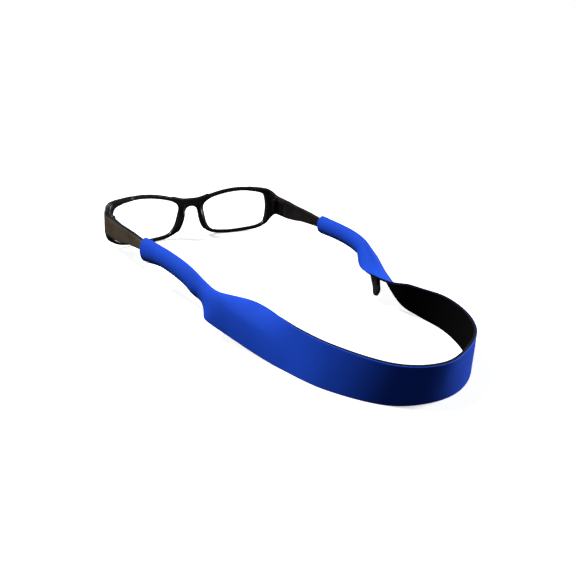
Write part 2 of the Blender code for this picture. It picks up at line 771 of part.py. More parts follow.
PIECES = {
    "sleeve_{}_left": (0.0, left_end - CUT / 2, TUBE_STEP, TUBE_ACROSS),
    "neck_{}_left": (left_end + CUT / 2, left_end + NECK_LONG - CUT / 2, NECK_STEP, TUBE_ACROSS),
    "band_{}": (
        left_end + NECK_LONG + CUT / 2,
        right_end - NECK_LONG - CUT / 2,
        BAND_STEP,
        BAND_ACROSS,
    ),
    "neck_{}_right": (right_end - NECK_LONG + CUT / 2, right_end - CUT / 2, NECK_STEP, TUBE_ACROSS),
    "sleeve_{}_right": (right_end + CUT / 2, LENGTH, TUBE_STEP, TUBE_ACROSS),
}
LAYERS = {
    "face": (FOAM / 2 + PLY_GAP, STRAP_THICK / 2, FACE_FABRIC),
    "foam": (-FOAM / 2, FOAM / 2, FOAM_RUBBER),
    "lining": (-STRAP_THICK / 2, -FOAM / 2 - PLY_GAP, LINING_FABRIC),
}
for piece, (start, stop, step, across) in PIECES.items():
    for layer, (low, high, skin) in LAYERS.items():
        spots = stations_between(start, stop, step)
        sections = [section(at, low, high, across) for at in spots]
        name = piece.format(layer)
        if name.startswith("sleeve"):
            side = -1 if "left" in name else 1
            node(name, *loft(sections), skin, hinge_home(side), pivots[side])
        else:
            node(name, *loft(sections), skin)


# ---- Seam threads: a zigzag laid over the butted edges along each sleeve's underside ----

def seam_thread(side):
    start, stop = (2 * MM, left_end - 2 * MM) if side < 0 else (right_end + 2 * MM, LENGTH - 2 * MM)
    out = STRAP_THICK / 2 + GAP + THREAD_R
    per_stitch = 6
    count = int((stop - start) / STITCH_PITCH) * per_stitch
    run, turned_by, _ = OVALS[side]
    points = []
    for i in range(count + 1):
        at = start + (stop - start) * i / count
        point, face, rise = station(at)
        swing = STITCH_HALF * math.sin(2 * math.pi * i / per_stitch)
        whole = run[-1]
        along = np.linspace(0, whole + swing, 200)
        angle = np.interp(along, np.r_[run, run[1:] + 2 * whole], np.r_[turned_by, turned_by[1:] + 2 * math.pi])
        width = (whole + swing) / 199
        x = -(np.sin(angle[1:]) + np.sin(angle[:-1])).sum() / 2 * width
        z = (np.cos(angle[1:]) + np.cos(angle[:-1])).sum() / 2 * width
        x += math.cos(angle[-1]) * out
        z += math.sin(angle[-1]) * out
        points.append(point + face * x + rise * z)
    return points


for side, name in ((1, "right"), (-1, "left")):
    home = hinge_home(side)
    track = seam_thread(side)
    curve = bpy.data.curves.new("seam_thread_" + name, "CURVE")
    curve.dimensions = "3D"
    curve.bevel_depth = THREAD_R
    curve.bevel_resolution = 0
    curve.use_fill_caps = True
    strand = curve.splines.new("POLY")
    strand.points.add(len(track) - 1)
    for spot, point in zip(strand.points, track):
        spot.co = (point[0] - home[0], point[1] - home[1], point[2] - home[2], 1.0)
    curve.materials.append(THREAD)
    thread = bpy.data.objects.new("seam_thread_" + name, curve)
    parts.objects.link(thread)
    thread.parent = pivots[side]
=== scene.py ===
"""Neoprene retainer strap fitted on plastic spectacles: the finished surfaces, floor, light and camera."""

import math

import bmesh
import bpy
import numpy as np
from mathutils import Matrix, Vector


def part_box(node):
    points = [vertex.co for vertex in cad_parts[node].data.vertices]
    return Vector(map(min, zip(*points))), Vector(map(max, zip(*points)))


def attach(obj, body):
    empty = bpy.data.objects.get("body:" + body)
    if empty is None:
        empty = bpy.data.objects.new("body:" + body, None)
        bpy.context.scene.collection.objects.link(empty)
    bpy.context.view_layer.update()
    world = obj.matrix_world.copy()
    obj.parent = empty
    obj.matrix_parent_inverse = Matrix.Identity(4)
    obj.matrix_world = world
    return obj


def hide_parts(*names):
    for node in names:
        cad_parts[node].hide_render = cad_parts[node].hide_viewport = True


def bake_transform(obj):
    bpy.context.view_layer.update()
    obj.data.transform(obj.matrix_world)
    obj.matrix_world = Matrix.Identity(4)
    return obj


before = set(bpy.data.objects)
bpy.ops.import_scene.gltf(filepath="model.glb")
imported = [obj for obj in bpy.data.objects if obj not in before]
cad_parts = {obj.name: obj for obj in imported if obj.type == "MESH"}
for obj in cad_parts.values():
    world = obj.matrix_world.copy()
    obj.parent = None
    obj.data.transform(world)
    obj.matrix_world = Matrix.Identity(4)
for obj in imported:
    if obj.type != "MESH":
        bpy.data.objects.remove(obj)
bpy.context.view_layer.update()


# ---- Spectacle front ----
# One injection moulding in black acetate: two thin rims, the bridge, the nose pads and the endpieces
# that turn back to the hinges. It is tumbled and polished, so every edge is slightly rounded.

MM = 0.001
FRONT_THICK = 3.2 * MM
front_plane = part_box("frame_front")[1][1] - FRONT_THICK / 2
FACE_CURVE = 6.2 * MM
FACE_CURVE_AT = 65.0 * MM
RIM_TOP, RIM_BOTTOM, RIM_NOSE, RIM_SIDE = 3.1 * MM, 2.8 * MM, 3.5 * MM, 3.3 * MM
RIM_LIP = 0.5 * MM
RIM_EDGE, ENDPIECE_EDGE, OPENING_EDGE = 1.1 * MM, 0.9 * MM, 0.5 * MM
BRIDGE_FILLET, ENDPIECE_FILLET, PAD_FILLET = 4.5 * MM, 2.4 * MM, 4.5 * MM
OPENING_DEEP = 8 * MM
OPENING_STEP = 1.2 * MM
BRIDGE_HALF = 13.0 * MM
BRIDGE_TOP, BRIDGE_RISE = 30.4 * MM, 0.9 * MM
ARCH_TOP, ARCH_DROP, ARCH_POWER = 24.2 * MM, 8.7 * MM, 2.2
PAD_AT = (9.0 * MM, -2.2 * MM, 13.0 * MM)
PAD_HALF = (1.3 * MM, 2.4 * MM, 7.0 * MM)
PAD_LEAN = 20
ENDPIECE_THICK = 4.0 * MM
ENDPIECE_BACK = -15.4 * MM
# The right lens opening in millimetres, from the brow round over the nose: across, height
LENS_OPENING = [
    (61.6, 30.4),
    (52.5, 33.2),
    (38.5, 34.0),
    (22.5, 31.6),
    (12.6, 28.0),
    (9.6, 24.2),
    (10.6, 17.0),
    (13.0, 9.8),
    (18.2, 4.2),
    (29.0, 2.2),
    (44.6, 2.6),
    (58.6, 4.9),
    (63.4, 8.4),
    (64.6, 16.5),
    (63.8, 25.4),
]
# Endpiece stations in millimetres, from the brow over the lens back to the hinge: across, back, low, high
ENDPIECE = [
    (50.0, -3.7, 34.0, 35.4),
    (57.0, -4.8, 32.0, 35.2),
    (61.4, -5.6, 12.0, 34.9),
    (64.6, -6.6, 6.6, 34.3),
    (66.8, -8.4, 9.6, 32.9),
    (68.2, -10.8, 13.0, 31.2),
    (69.3, -13.2, 14.8, 29.9),
    (70.0, -15.9, 15.5, 29.3),
]


def smooth_path(points, step, closed=False):
    """Even samples of a smooth curve through the points. Columns after the third are carried along."""
    per_span = 24
    pts = np.array(points, float)
    if closed:
        pts = np.vstack([pts[-1], pts, pts[0], pts[1]])
    else:
        pts = np.vstack([2 * pts[0] - pts[1], pts, 2 * pts[-1] - pts[-2]])
    dims = min(3, pts.shape[1])
    knots = np.r_[0, np.cumsum(np.sqrt(np.linalg.norm(np.diff(pts[:, :dims], axis=0), axis=1)))]
    dense = []
    for i in range(1, len(pts) - 2):
        t0, t1, t2, t3 = knots[i - 1 : i + 3]
        for t in np.linspace(t1, t2, per_span, endpoint=False):
            a1 = pts[i - 1] * (t1 - t) / (t1 - t0) + pts[i] * (t - t0) / (t1 - t0)
            a2 = pts[i] * (t2 - t) / (t2 - t1) + pts[i + 1] * (t - t1) / (t2 - t1)
            a3 = pts[i + 1] * (t3 - t) / (t3 - t2) + pts[i + 2] * (t - t2) / (t3 - t2)
            b1 = a1 * (t2 - t) / (t2 - t0) + a2 * (t - t0) / (t2 - t0)
            b2 = a2 * (t3 - t) / (t3 - t1) + a3 * (t - t1) / (t3 - t1)
            dense.append(b1 * (t2 - t) / (t2 - t1) + b2 * (t - t1) / (t2 - t1))
    dense.append(dense[0] if closed else pts[-2])
    dense = np.array(dense)
    run = np.r_[0, np.cumsum(np.linalg.norm(np.diff(dense[:, :dims], axis=0), axis=1))]
    count = max(2, int(round(run[-1] / step)))
    at = np.linspace(0, run[-1], count + 1)
    even = np.column_stack([np.interp(at, run, dense[:, c]) for c in range(dense.shape[1])])
    return even[:-1] if closed else even


def loft(sections, closed=False):
    """Vertices and faces of a skin over a row of closed sections of equal length."""
    count = len(sections[0])
    rows = len(sections)
    verts = [tuple(point) for section in sections for point in section]
    faces = []
    for i in range(rows if closed else rows - 1):
        a, b = i * count, ((i + 1) % rows) * count
        for j in range(count):
            k = (j + 1) % count
            faces.append((a + j, a + k, b + k, b + j))
    if not closed:
        faces.append(tuple(range(count - 1, -1, -1)))
        faces.append(tuple((rows - 1) * count + j for j in range(count)))
    return verts, faces


def make_piece(name, verts, faces, *skins):
    """A smooth-shaded object with its faces turned outward."""
    mesh = bpy.data.meshes.new(name)
    mesh.from_pydata([tuple(v) for v in verts], [], faces)
    work = bmesh.new()
    work.from_mesh(mesh)
    bmesh.ops.recalc_face_normals(work, faces=work.faces)
    work.to_mesh(mesh)
    work.free()
    for skin in skins:
        mesh.materials.append(skin)
    mesh.shade_smooth()
    piece = bpy.data.objects.new(name, mesh)
    bpy.context.scene.collection.objects.link(piece)
    return piece


def freeze(piece):
    """Applies the piece's modifiers, so that only its mesh is left."""
    bpy.context.view_layer.update()
    made = bpy.data.meshes.new_from_object(piece.evaluated_get(bpy.context.evaluated_depsgraph_get()))
    piece.modifiers.clear()
    piece.data = made


def face_y(x):
    """How far back the curved front's middle surface is at this place across it."""
    return front_plane - FACE_CURVE * (x / FACE_CURVE_AT) ** 2


def opening_outline(side, step):
    """Points round a lens opening, across and up, on the right or mirrored to the left."""
    loop = smooth_path([(x * MM, z * MM, 0) for x, z in LENS_OPENING], step, closed=True)[:, :2]
    return loop if side > 0 else loop[::-1] * np.array([-1.0, 1.0])


def outward_normals(outline):
    """Directions pointing out of a closed outline at each of its points."""
    ahead = np.roll(outline, -1, axis=0) - np.roll(outline, 1, axis=0)
    ahead /= np.linalg.norm(ahead, axis=1)[:, None]
    return np.column_stack([ahead[:, 1], -ahead[:, 0]])


def blend_of(a, b, reach):
    """Joins two distance fields with a fillet of this reach."""
    near = np.maximum(reach - np.abs(a - b), 0.0) / reach
    return np.minimum(a, b) - near**2 * reach / 4


def cut_by(a, b, reach):
    """Cuts the second distance field out of the first and eases the edge."""
    return -blend_of(-a, b, reach)


def rounded(flat, deep, radius):
    """A plate with this outline and depth, its edges rounded."""
    over = np.hypot(np.maximum(flat + radius, 0.0), np.maximum(deep + radius, 0.0))
    return np.minimum(np.maximum(flat, deep) + radius, 0.0) + over - radius


def from_path(px, py, path):
    """Distance to a path of points, and how far along it the nearest place is."""
    best = np.full(px.shape, 1e9)
    where = np.zeros(px.shape)
    for i in range(len(path) - 1):
        (ax, ay), (bx, by) = path[i], path[i + 1]
        span = (bx - ax) ** 2 + (by - ay) ** 2
        t = np.clip(((px - ax) * (bx - ax) + (py - ay) * (by - ay)) / span, 0.0, 1.0)
        apart = np.hypot(px - ax - t * (bx - ax), py - ay - t * (by - ay))
        closer = apart < best
        best = np.where(closer, apart, best)
        where = np.where(closer, i + t, where)
    return best, where


def opening_field(x, z):
    """Distance outside the right opening as seen past the rim's lip, and the rim's width there."""
    outline = opening_outline(1, OPENING_STEP)
    normals = outward_normals(outline)
    apart, where = from_path(x, z, np.vstack([outline, outline[:1]]))
    near = where.astype(int) % len(outline)
    nx, nz = normals[near, 0], normals[near, 1]
    beyond = (x - outline[near, 0]) * nx + (z - outline[near, 1]) * nz
    wide = np.maximum(nz, 0) ** 2 * RIM_TOP + np.maximum(-nz, 0) ** 2 * RIM_BOTTOM
    wide += np.maximum(nx, 0) ** 2 * RIM_SIDE + np.maximum(-nx, 0) ** 2 * RIM_NOSE
    return np.where(beyond > 0, apart, -apart) + RIM_LIP, wide


def front_field(x, y, z):
    """Distance field of the whole moulding, whose halves mirror each other."""
    x = np.abs(x)
    flat_x, flat_z = x[:, 0, :], z[:, 0, :]
    opening, wide = opening_field(flat_x, flat_z)
    rim = np.abs(opening - wide / 2) - wide / 2
    k = flat_x / BRIDGE_HALF
    under, over = ARCH_TOP - ARCH_DROP * k**ARCH_POWER, BRIDGE_TOP + BRIDGE_RISE * k**2
    arch = np.maximum(under - flat_z, flat_z - over)
    bridge = np.maximum(arch, flat_x - BRIDGE_HALF)
    flat = blend_of(rim, bridge, BRIDGE_FILLET)[:, None, :]
    deep = np.abs(y - face_y(x)) - FRONT_THICK / 2
    field = rounded(np.broadcast_to(flat, deep.shape), deep, RIM_EDGE)

    stations = smooth_path(ENDPIECE, 1.0) * MM
    apart, where = from_path(x[:, :, 0], y[:, :, 0] - front_plane, stations[:, :2])
    low = np.interp(where, np.arange(len(stations)), stations[:, 2])[:, :, None]
    high = np.interp(where, np.arange(len(stations)), stations[:, 3])[:, :, None]
    side = (apart - ENDPIECE_THICK / 2)[:, :, None]
    end = rounded(np.broadcast_to(side, z.shape), np.maximum(low - z, z - high), ENDPIECE_EDGE)
    end = np.maximum(end, front_plane + ENDPIECE_BACK - y)
    field = blend_of(field, end, ENDPIECE_FILLET)

    lean = math.radians(PAD_LEAN)
    px, py, pz = x - PAD_AT[0], y - front_plane - PAD_AT[1], z - PAD_AT[2]
    ax, az = px * math.cos(lean) + pz * math.sin(lean), pz * math.cos(lean) - px * math.sin(lean)
    a, b, c = PAD_HALF
    reach = np.sqrt((ax / a) ** 2 + (py / b) ** 2 + (az / c) ** 2)
    steep = np.sqrt((ax / a**2) ** 2 + (py / b**2) ** 2 + (az / c**2) ** 2)
    field = blend_of(field, reach * (reach - 1) / np.maximum(steep, 1.0), PAD_FILLET)

    opened = np.maximum(opening[:, None, :], np.abs(y - face_y(x)) - OPENING_DEEP)
    return cut_by(field, opened, OPENING_EDGE)


def skin_of(field, low, step):
    """Vertices and faces of the surface where a field on an even grid changes sign."""
    inside = field < 0
    cells = [n - 1 for n in field.shape]
    total = np.zeros((*cells, 3))
    hits = np.zeros(cells)
    for axis in range(3):
        for first in range(2):
            for second in range(2):
                offset = np.insert([first, second], axis, 0)
                ahead = offset + np.eye(3, dtype=int)[axis]
                here = tuple(slice(o, o + n) for o, n in zip(offset, cells))
                there = tuple(slice(o, o + n) for o, n in zip(ahead, cells))
                crossed = inside[here] != inside[there]
                a, b = field[here][crossed], field[there][crossed]
                spots = np.tile(offset.astype(float), (len(a), 1))
                spots[:, axis] += a / (a - b)
                total[crossed] += spots
                hits[crossed] += 1
    used = hits > 0
    number = np.full(cells, -1)
    number[used] = np.arange(used.sum())
    verts = (np.argwhere(used) + total[used] / hits[used][:, None]) * step + low
    faces = []
    for axis in range(3):
        u, v = (axis + 1) % 3, (axis + 2) % 3
        step_on = np.eye(3, dtype=int)
        end = [n - (1 if i == axis else 0) for i, n in enumerate(field.shape)]
        here = tuple(slice(0, n) for n in end)
        there = tuple(slice(step_on[axis][i], step_on[axis][i] + n) for i, n in enumerate(end))
        edges = np.argwhere(inside[here] != inside[there])
        starts_in = inside[here][tuple(edges.T)]
        quad = [edges - step_on[u] - step_on[v], edges - step_on[v], edges, edges - step_on[u]]
        quad = np.column_stack([number[tuple(corner.T)] for corner in quad])
        faces.append(np.where(starts_in[:, None], quad, quad[:, ::-1]))
    return verts, np.vstack(faces).tolist()


# Plastic marks: soft mottling of the tint, and fine wiping scratches that roughen the surface and set its
# bumps.
plastic_marks = bpy.data.node_groups.new("plastic_marks", "ShaderNodeTree")
sockets = plastic_marks.interface
sockets.new_socket("Mottle Size", in_out="INPUT", socket_type="NodeSocketFloat")
sockets.new_socket("Scratch Size", in_out="INPUT", socket_type="NodeSocketFloat")
sockets.new_socket("Mottle", in_out="OUTPUT", socket_type="NodeSocketFloat")
sockets.new_socket("Wear", in_out="OUTPUT", socket_type="NodeSocketFloat")
sockets.new_socket("Height", in_out="OUTPUT", socket_type="NodeSocketFloat")
nodes, links = plastic_marks.nodes, plastic_marks.links
group_in, group_out = nodes.new("NodeGroupInput"), nodes.new("NodeGroupOutput")
place = nodes.new("ShaderNodeTexCoord")
mottle = nodes.new("ShaderNodeTexNoise")
mottle.inputs["Detail"].default_value = 5.0
mottle.inputs["Roughness"].default_value = 0.6
links.new(place.outputs["Object"], mottle.inputs["Vector"])
links.new(group_in.outputs["Mottle Size"], mottle.inputs["Scale"])
stretch = nodes.new("ShaderNodeMapping")
stretch.inputs["Scale"].default_value = (1.0, 0.12, 1.0)
links.new(place.outputs["Object"], stretch.inputs["Vector"])
scratches = nodes.new("ShaderNodeTexNoise")
scratches.inputs["Detail"].default_value = 3.0
links.new(stretch.outputs["Vector"], scratches.inputs["Vector"])
links.new(group_in.outputs["Scratch Size"], scratches.inputs["Scale"])
worn = nodes.new("ShaderNodeMapRange")
worn.inputs["From Min"].default_value = 0.45
worn.inputs["From Max"].default_value = 0.75
links.new(scratches.outputs["Fac"], worn.inputs["Value"])
links.new(mottle.outputs["Fac"], group_out.inputs["Mottle"])
links.new(worn.outputs["Result"], group_out.inputs["Wear"])
links.new(scratches.outputs["Fac"], group_out.inputs["Height"])


def plastic(name, dark, light, dull, bright, coat):
    """Polished plastic between two tints, its roughness running from bright to dull."""
    made = bpy.data.materials.new(name)
    made.use_nodes = True
    tree = made.node_tree
    shader = tree.nodes["Principled BSDF"]
    shader.inputs["Coat Weight"].default_value = coat
    shader.inputs["Coat Roughness"].default_value = 0.06
    marks = tree.nodes.new("ShaderNodeGroup")
    marks.node_tree = plastic_marks
    marks.inputs["Mottle Size"].default_value = 90.0
    marks.inputs["Scratch Size"].default_value = 900.0
    tint = tree.nodes.new("ShaderNodeMix")
    tint.data_type = "RGBA"
    tint.inputs["A"].default_value = (*dark, 1.0)
    tint.inputs["B"].default_value = (*light, 1.0)
    contrast = tree.nodes.new("ShaderNodeMapRange")
    contrast.inputs["From Min"].default_value = 0.38
    contrast.inputs["From Max"].default_value = 0.68
    rough = tree.nodes.new("ShaderNodeMapRange")
    rough.inputs["To Min"].default_value = bright
    rough.inputs["To Max"].default_value = dull
    bump = tree.nodes.new("ShaderNodeBump")
    bump.inputs["Strength"].default_value = 0.03
    bump.inputs["Distance"].default_value = 0.0001
    tree.links.new(marks.outputs["Mottle"], contrast.inputs["Value"])
    tree.links.new(contrast.outputs["Result"], tint.inputs["Factor"])
    tree.links.new(tint.outputs["Result"], shader.inputs["Base Color"])
    tree.links.new(marks.outputs["Wear"], rough.inputs["Value"])
    tree.links.new(rough.outputs["Result"], shader.inputs["Roughness"])
    tree.links.new(marks.outputs["Height"], bump.inputs["Height"])
    tree.links.new(bump.outputs["Normal"], shader.inputs["Normal"])
    return made


front_plastic = plastic("front_plastic", (0.003, 0.003, 0.004), (0.016, 0.009, 0.006), 0.48, 0.30, 0.15)

# The moulding is sampled on an even grid that reaches a little past it on every side
GRID = 0.34 * MM
grid_low = np.array([-73.0 * MM, front_plane - 17.5 * MM, -1.0 * MM])
grid_high = np.array([73.0 * MM, front_plane + 2.6 * MM, 37.5 * MM])
ticks = [np.arange(a, b, GRID) for a, b in zip(grid_low, grid_high)]
grid = np.meshgrid(*ticks, indexing="ij")
spectacle_front = make_piece("spectacle_front", *skin_of(front_field(*grid), grid_low, GRID), front_plastic)
tumble = spectacle_front.modifiers.new("tumbled", "SMOOTH")
tumble.factor = 0.5
tumble.iterations = 5
freeze(spectacle_front)
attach(spectacle_front, "front")
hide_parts("frame_front")


# ---- Lenses ----
# Clear plastic lenses 1.4 mm thick, edged to the rim's outline and snapped into its groove. They are
# curved like the front, with a faint anti-reflection tint. Their near-white colour shows more strongly
# towards grazing angles, a painted reflection besides the shader's own gloss.

LENS_THICK = 1.4 * MM
LENS_IN_GROOVE = 0.45 * MM
SAFETY_BEVEL = 0.25 * MM
LENS_STEP = 1.0 * MM
# Rings from the edge to the middle: how far past the opening, size, share of the thickness on each side
LENS_RINGS = [(LENS_IN_GROOVE, 1.0, 0.3), (LENS_IN_GROOVE - SAFETY_BEVEL, 1.0, 0.5)]
LENS_RINGS += [(0.0, size, 0.5) for size in (0.94, 0.8, 0.6, 0.4, 0.2)]
lens_plastic = bpy.data.materials.new("lens_plastic")
lens_plastic.use_nodes = True
tree = lens_plastic.node_tree
shader = tree.nodes["Principled BSDF"]
shader.inputs["IOR"].default_value = 1.5
smudge = tree.nodes.new("ShaderNodeTexNoise")
smudge.inputs["Scale"].default_value = 60.0
smudge.inputs["Detail"].default_value = 4.0
lens_place = tree.nodes.new("ShaderNodeTexCoord")
# Near-white colour, varied by smudges: it shows where the lens turns edge-on, as a painted reflection.
lens_tint_and_painted_reflection = tree.nodes.new("ShaderNodeMix")
lens_tint_and_painted_reflection.data_type = "RGBA"
lens_tint_and_painted_reflection.inputs["A"].default_value = (0.88, 0.93, 0.92, 1.0)
lens_tint_and_painted_reflection.inputs["B"].default_value = (0.95, 0.97, 0.95, 1.0)
lens_rough = tree.nodes.new("ShaderNodeMapRange")
lens_rough.inputs["To Min"].default_value = 0.02
lens_rough.inputs["To Max"].default_value = 0.09
# Opacity rises towards grazing angles and shows the near-white colour there: a painted reflection, besides
# the shader's own gloss.
edge_on = tree.nodes.new("ShaderNodeLayerWeight")
edge_on.inputs["Blend"].default_value = 0.5
grazing = tree.nodes.new("ShaderNodeMath")
grazing.operation = "POWER"
grazing.inputs[1].default_value = 4.0
seen = tree.nodes.new("ShaderNodeMapRange")
seen.inputs["To Min"].default_value = 0.035
seen.inputs["To Max"].default_value = 0.6
tree.links.new(lens_place.outputs["Object"], smudge.inputs["Vector"])
tree.links.new(smudge.outputs["Fac"], lens_tint_and_painted_reflection.inputs["Factor"])
tree.links.new(lens_tint_and_painted_reflection.outputs["Result"], shader.inputs["Base Color"])
tree.links.new(smudge.outputs["Fac"], lens_rough.inputs["Value"])
tree.links.new(lens_rough.outputs["Result"], shader.inputs["Roughness"])
tree.links.new(edge_on.outputs["Facing"], grazing.inputs[0])
tree.links.new(grazing.outputs["Value"], seen.inputs["Value"])
tree.links.new(seen.outputs["Result"], shader.inputs["Alpha"])


def lens(side):
    """A curved plate in rings from its edge to its middle, with a small safety bevel round the edge."""
    outline = opening_outline(side, LENS_STEP)
    normals = outward_normals(outline)
    middle = outline.mean(axis=0)
    count = len(outline)
    verts = []
    faces = []
    for face in (-1, 1):
        for spread, scale, thick in LENS_RINGS:
            for (x, z), (nx, nz) in zip(outline, normals):
                px = middle[0] + (x + nx * spread - middle[0]) * scale
                pz = middle[1] + (z + nz * spread - middle[1]) * scale
                verts.append((px, face_y(px) + face * thick * LENS_THICK, pz))
        verts.append((middle[0], face_y(middle[0]) + face * 0.5 * LENS_THICK, middle[1]))
    layer = len(LENS_RINGS) * count + 1
    for j in range(count):
        k = (j + 1) % count
        for base in (0, layer):
            for r in range(len(LENS_RINGS) - 1):
                a, b = base + r * count, base + (r + 1) * count
                faces.append((a + j, a + k, b + k, b + j))
            last = base + (len(LENS_RINGS) - 1) * count
            faces.append((last + j, last + k, base + layer - 1))
        faces.append((k, j, layer + j, layer + k))
    return verts, faces


for side, name in ((1, "right"), (-1, "left")):
    clear = make_piece("clear_lens_" + name, *lens(side), lens_plastic)
    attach(clear, "front")
    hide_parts("lens_" + name)


# ---- Hinges ----
# Blackened steel leaves with turned knuckles, sunk into the plastic, and a plain screw through them.
# The leaves and screws are plain machined shapes with a brushed finish and duller patches from handling.

hinge_steel = bpy.data.materials.new("hinge_steel_brushed")
hinge_steel.use_nodes = True
tree = hinge_steel.node_tree
shader = tree.nodes["Principled BSDF"]
shader.inputs["Metallic"].default_value = 1.0
steel_place = tree.nodes.new("ShaderNodeTexCoord")
brushing = tree.nodes.new("ShaderNodeMapping")
brushing.inputs["Scale"].default_value = (1.0, 1.0, 14.0)
brush_lines = tree.nodes.new("ShaderNodeTexNoise")
brush_lines.inputs["Scale"].default_value = 1600.0
brush_lines.inputs["Detail"].default_value = 4.0
patches = tree.nodes.new("ShaderNodeTexNoise")
patches.inputs["Scale"].default_value = 260.0
steel_tint = tree.nodes.new("ShaderNodeMix")
steel_tint.data_type = "RGBA"
steel_tint.inputs["A"].default_value = (0.030, 0.029, 0.030, 1.0)
steel_tint.inputs["B"].default_value = (0.085, 0.083, 0.082, 1.0)
steel_rough = tree.nodes.new("ShaderNodeMapRange")
steel_rough.inputs["To Min"].default_value = 0.22
steel_rough.inputs["To Max"].default_value = 0.48
steel_bump = tree.nodes.new("ShaderNodeBump")
steel_bump.inputs["Strength"].default_value = 0.25
steel_bump.inputs["Distance"].default_value = 0.00005
tree.links.new(steel_place.outputs["Object"], brushing.inputs["Vector"])
tree.links.new(brushing.outputs["Vector"], brush_lines.inputs["Vector"])
tree.links.new(steel_place.outputs["Object"], patches.inputs["Vector"])
tree.links.new(patches.outputs["Fac"], steel_tint.inputs["Factor"])
tree.links.new(steel_tint.outputs["Result"], shader.inputs["Base Color"])
tree.links.new(brush_lines.outputs["Fac"], steel_rough.inputs["Value"])
tree.links.new(steel_rough.outputs["Result"], shader.inputs["Roughness"])
tree.links.new(brush_lines.outputs["Fac"], steel_bump.inputs["Height"])
tree.links.new(steel_bump.outputs["Normal"], shader.inputs["Normal"])
for name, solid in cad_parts.items():
    if name.startswith("hinge_"):
        solid.data.materials.clear()
        solid.data.materials.append(hinge_steel)


# ---- Temples ----
# Cut from laminated acetate sheet, brown outside and black inside and along the edges, tall at the
# hinge and drawn down to a slim shaft that bends behind the ear. A screw at the hinge holds each one.

# The right temple's middle line in millimetres, from the hinge to the tip: across, back, height
TEMPLE_LINE = [
    (70.0, -15.9, 22.4),
    (69.5, -38.0, 23.4),
    (68.8, -52.0, 25.0),
    (67.6, -75.0, 26.4),
    (66.4, -95.0, 27.3),
    (65.3, -111.0, 27.5),
    (64.0, -123.0, 26.4),
    (62.2, -133.5, 23.4),
    (60.0, -142.0, 18.9),
    (57.4, -148.8, 13.6),
    (55.0, -153.4, 8.4),
    (53.8, -155.6, 5.0),
]
TIP_ROUND = 3.2 * MM
TIP_TALL_LEAST, TIP_THICK_LEAST = 0.12, 0.4
TEMPLE_STEP = 1.0 * MM
BROWN_FACING = 0.75
TEMPLE_BACK = np.array([15.0, 30.0, 52.0, 75.0, 95.0, 138.0, 148.0]) * MM
TEMPLE_TALL = np.array([13.9, 13.2, 9.2, 6.8, 6.2, 7.6, 12.0]) * MM
THICK_BACK, THICK = np.array([15.0, 60.0]) * MM, np.array([4.0, 3.0])
EDGE_BACK, EDGE_POWER = np.array([60.0, 72.0]) * MM, (0.24, 0.6)
TEMPLE_AROUND = 28
temple_black = plastic("temple_black", (0.004, 0.004, 0.005), (0.022, 0.013, 0.009), 0.46, 0.30, 0.15)
temple_brown = plastic("temple_brown", (0.075, 0.053, 0.033), (0.125, 0.090, 0.057), 0.46, 0.36, 0.1)


def along_frames(path):
    """Travel, outward and upward directions at each point of a path that runs left, back, right."""
    ahead = np.gradient(path[:, :3], axis=0)
    ahead /= np.linalg.norm(ahead, axis=1)[:, None]
    outward = np.cross(ahead, (0, 0, 1.0))
    outward /= np.linalg.norm(outward, axis=1)[:, None]
    return ahead, outward, np.cross(outward, ahead)


def temple_path(side, step):
    """A temple's middle line in the order that along_frames needs, so the right one starts at its tip."""
    line = [(x * MM * side, y * MM, z * MM) for x, y, z in TEMPLE_LINE]
    path = smooth_path(line, step)
    path[:, 1] += front_plane
    return path[::-1] if side > 0 else path


def temple(side):
    """A temple's skin: squared edges at the hinge, oval along the shaft, rounded off at the tip."""
    path = temple_path(side, TEMPLE_STEP)
    _, outward, upward = along_frames(path)
    end = path[0] if side > 0 else path[-1]
    sections = []
    for point, out, up in zip(path, outward, upward):
        back = front_plane - point[1]
        tall = np.interp(back, TEMPLE_BACK, TEMPLE_TALL)
        thick = np.interp(back, THICK_BACK, THICK) * MM
        left = np.linalg.norm(point - end)
        round_off = math.sqrt(max(0.0, 1 - (1 - min(left, TIP_ROUND) / TIP_ROUND) ** 2))
        round_off = max(round_off, TIP_TALL_LEAST)
        power = np.interp(back, EDGE_BACK, EDGE_POWER)
        section = []
        for j in range(TEMPLE_AROUND):
            angle = 2 * math.pi * (j + 0.5) / TEMPLE_AROUND
            c, s = math.cos(angle), math.sin(angle)
            a = math.copysign(abs(c) ** power, c) * thick / 2 * max(round_off, TIP_THICK_LEAST)
            b = math.copysign(abs(s) ** power, s) * tall / 2 * round_off
            section.append(point + out * a + up * b)
        sections.append(section)
    return loft(sections)


for side, name in ((1, "right"), (-1, "left")):
    arm = make_piece("temple_arm_" + name, *temple(side), temple_black, temple_brown)
    for face in arm.data.polygons:
        if face.normal.x * side > BROWN_FACING:
            face.material_index = 1
    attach(arm, name + "_temple")
    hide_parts("temple_" + name)


# ---- Strap ----
# One strip of laminate 24 mm wide: closed-cell neoprene foam with blue nylon jersey bonded outside and
# black jersey inside. Each end is rolled round a temple and sewn, then opens into the flat band.

STRAP_WIDE = 24.2 * MM
FABRIC = 0.35 * MM
FOAM = 1.10 * MM
STRAP_THICK = FOAM + 2 * FABRIC
TUBE_HALF_WIDE, TUBE_HALF_TALL = 3.2 * MM, 4.9 * MM
SEAM_GAP = 0.7 * MM
SLEEVE_MOUTH = -75.0 * MM
SLEEVE_END = {-1: -136.8 * MM, 1: -127.0 * MM}
ROLL = {-1: math.radians(85), 1: math.radians(70)}
NECK_LOW_OPENS = {-1: 17.0 * MM, 1: 12.0 * MM}
NECK_HIGH_OPENS = {-1: 66.0 * MM, 1: 54.0 * MM}
HIGH_SWEEP = {-1: 1.35, 1: 1.2}
HANG_REACH = 1.6
OVAL_POINTS = 721
SLEEVE_EVERY = 6
SPINE_STEP = 0.5 * MM
